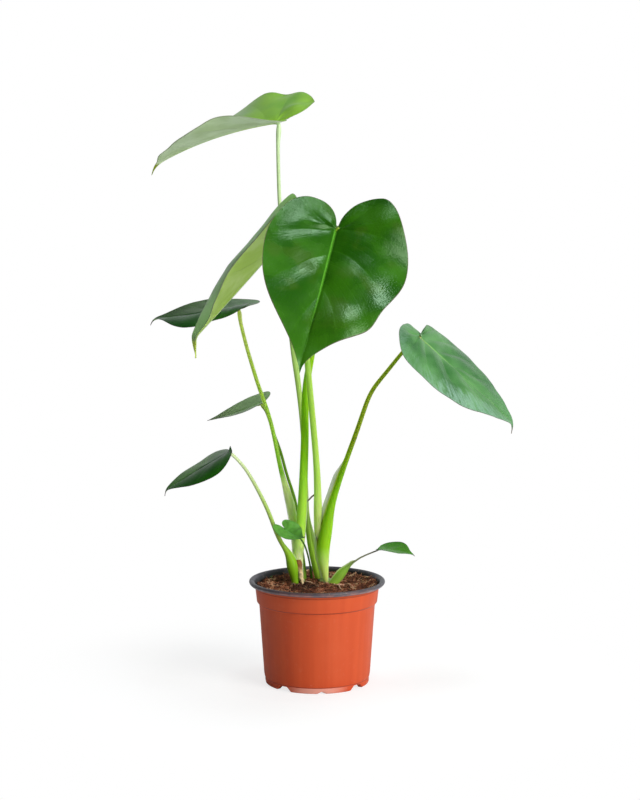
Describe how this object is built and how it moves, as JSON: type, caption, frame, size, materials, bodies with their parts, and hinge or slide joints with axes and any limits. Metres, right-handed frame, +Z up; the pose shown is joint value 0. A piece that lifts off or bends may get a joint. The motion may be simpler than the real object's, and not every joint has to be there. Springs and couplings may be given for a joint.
{
  "type": "potted monstera seedling",
  "caption": "Potted young monstera with heart-shaped leaves on long sheathed stalks, in a two-colour nursery pot filled with moist growing mix.",
  "frame": {"origin": "centre of the pot's base, on the surface the pot stands on", "axes": "+Z up along the pot's axis; -Y is the side the large heart-shaped leaf faces; +X to the right seen from that side"},
  "size_m": [0.3279, 0.2716, 0.5247],
  "materials": {
    "pot_plastic": "thin moulded plastic, terracotta colour outside and black inside, black rolled lip",
    "growing_mix": "moist peat and coir with loose fibres",
    "stem": "pale green fleshy stem",
    "blade": "deep green leaf, soft gloss above, paler and duller below",
    "new_blade": "pale green young leaf",
    "stalk": "smooth lime-green leaf stalk, paler at the sheathing base",
    "dry_sheath": "brown papery dried sheath",
    "root": "pinkish-tan thin root",
    "seedling": "small green sprout"
  },
  "bodies": {
    "root": {"pot": "pot_plastic", "soil": "growing_mix", "crown_left": "stem", "crown_right": "stem", "leaf_top": "new_blade", "leaf_diagonal": "blade", "leaf_front": "blade", "leaf_left": "blade", "leaf_left_small": "blade", "leaf_low_left": "blade", "leaf_right": "blade", "leaf_juvenile": "blade", "leaf_low_right": "blade", "stalk_front": "stalk", "stalk_low_left": "stalk", "stalk_left": "stalk", "stalk_left_small": "stalk", "stalk_right": "stalk", "stalk_diagonal": "stalk", "stalk_top": "stalk", "stalk_low_right": "stalk", "stalk_juvenile": "stalk", "stub": "dry_sheath", "root_left": "root", "root_front": "root", "root_right": "root", "seedling": "seedling"}
  },
  "joints": []
}
